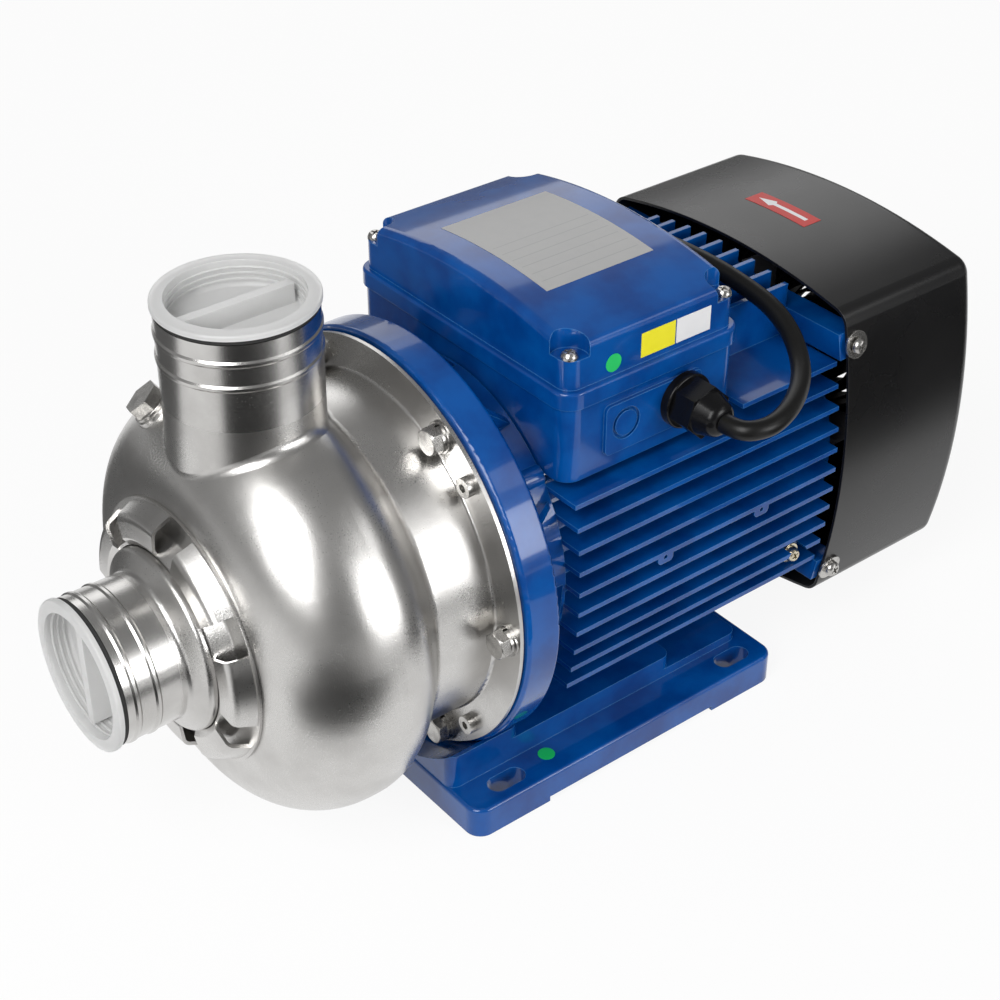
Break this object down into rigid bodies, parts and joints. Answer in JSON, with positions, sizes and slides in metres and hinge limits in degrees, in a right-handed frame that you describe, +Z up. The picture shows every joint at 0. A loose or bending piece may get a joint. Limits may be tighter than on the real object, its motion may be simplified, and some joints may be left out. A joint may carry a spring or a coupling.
{
  "type": "centrifugal pump",
  "caption": "Close coupled centrifugal pump with a pressed stainless casing, a finned electric motor, a terminal box with a power lead, a black fan cover and a cast foot.",
  "frame": {"origin": "middle of the four foot slots, on the ground under the base", "axes": "+X along the shaft from the suction port to the fan cover, +Y away from the cable gland, +Z up"},
  "size_m": [0.4992, 0.4117, 0.2888],
  "materials": {
    "stainless": "satin",
    "inner_stainless": "satin",
    "blue_paint": "gloss",
    "black_paint": "satin",
    "zinc": "satin",
    "brass_screw": "satin",
    "white_plastic": "satin",
    "black_plastic": "satin",
    "black_rubber": "matte",
    "cable_rubber": "matte",
    "shaft_steel": "ground",
    "bearing_steel": "polished",
    "lamination": "matte",
    "copper": "satin",
    "seal_ceramic": "satin",
    "seal_carbon": "satin",
    "fan_plastic": "matte",
    "block_plastic": "matte",
    "bare_casting": "matte"
  },
  "bodies": {
    "pump_frame": {"cable_coil": "cable_rubber", "capacitor": "block_plastic", "casing_bolts": "zinc", "casing_seal_ring": "black_rubber", "casing_socket_screws": "zinc", "casing_washers": "zinc", "discharge_sleeve": "stainless", "earth_screw": "brass_screw", "fan_cover": "black_paint", "fan_cover_screws": "zinc", "fan_cover_washers": "black_plastic", "foot_base": "blue_paint", "foot_screws": "zinc", "front_bearing_outer": "bearing_steel", "gland_body": "black_plastic", "gland_nut": "black_plastic", "inlet_ring": "inner_stainless", "mains_plug": "black_plastic", "motor_bracket": "blue_paint", "motor_housing": "blue_paint", "power_cable": "cable_rubber", "pump_casing": "stainless", "rear_bearing_outer": "bearing_steel", "rear_shield": "bare_casting", "seal_plate": "inner_stainless", "seal_seat": "seal_ceramic", "stator_core": "lamination", "stator_windings": "copper", "stiffener_ring": "stainless", "suction_sleeve": "stainless", "terminal_block": "block_plastic", "terminal_box": "blue_paint", "terminal_gasket": "black_rubber", "tie_rods": "zinc", "wave_spring": "shaft_steel"},
    "rotor": {"shaft": "shaft_steel", "rotor_core": "lamination", "impeller": "inner_stainless", "impeller_nut": "zinc", "impeller_key": "shaft_steel", "seal_face_ring": "seal_carbon", "seal_bellows": "black_rubber", "front_bearing_inner": "bearing_steel", "rear_bearing_inner": "bearing_steel", "fan": "fan_plastic", "fan_clip": "zinc", "slinger": "black_rubber"},
    "front_balls": {"front_bearing_balls": "bearing_steel"},
    "rear_balls": {"rear_bearing_balls": "bearing_steel"},
    "suction_cap": {"suction_plug": "white_plastic", "suction_plug_ring": "black_rubber"},
    "discharge_cap": {"discharge_plug": "white_plastic", "discharge_plug_ring": "black_rubber"},
    "fill_screw": {"fill_plug": "zinc", "fill_plug_washer": "black_rubber"},
    "drain_screw": {"drain_plug": "zinc", "drain_plug_washer": "black_rubber"},
    "box_cover": {"terminal_cover": "blue_paint", "terminal_cover_screws": "zinc"}
  },
  "joints": [
    {"name": "rotor_spin", "type": "hinge", "parent": "pump_frame", "child": "rotor", "pos_m": [0, 0, 0.1234], "axis": [1, 0, 0], "continuous": true},
    {"name": "front_balls_spin", "type": "hinge", "parent": "pump_frame", "child": "front_balls", "pos_m": [0, 0, 0.1234], "axis": [1, 0, 0], "continuous": true},
    {"name": "rear_balls_spin", "type": "hinge", "parent": "pump_frame", "child": "rear_balls", "pos_m": [0, 0, 0.1234], "axis": [1, 0, 0], "continuous": true},
    {"name": "suction_cap_pull", "type": "slide", "parent": "pump_frame", "child": "suction_cap", "axis": [-1, 0, 0], "range_m": [0, 0.08]},
    {"name": "discharge_cap_pull", "type": "slide", "parent": "pump_frame", "child": "discharge_cap", "axis": [0, 0, 1], "range_m": [0, 0.08]},
    {"name": "fill_screw_out", "type": "slide", "parent": "pump_frame", "child": "fill_screw", "axis": [-0.5446, 0.3677, 0.7538], "range_m": [0, 0.02]},
    {"name": "drain_screw_out", "type": "slide", "parent": "pump_frame", "child": "drain_screw", "axis": [-0.5446, 0.593, -0.593], "range_m": [0, 0.02]},
    {"name": "box_cover_lift", "type": "slide", "parent": "pump_frame", "child": "box_cover", "axis": [0, 0, 1], "range_m": [0, 0.06]}
  ],
  "couplings": [
    {"joint": "front_balls_spin", "follows": "rotor_spin", "ratio": 0.3966},
    {"joint": "rear_balls_spin", "follows": "rotor_spin", "ratio": 0.3811}
  ]
}
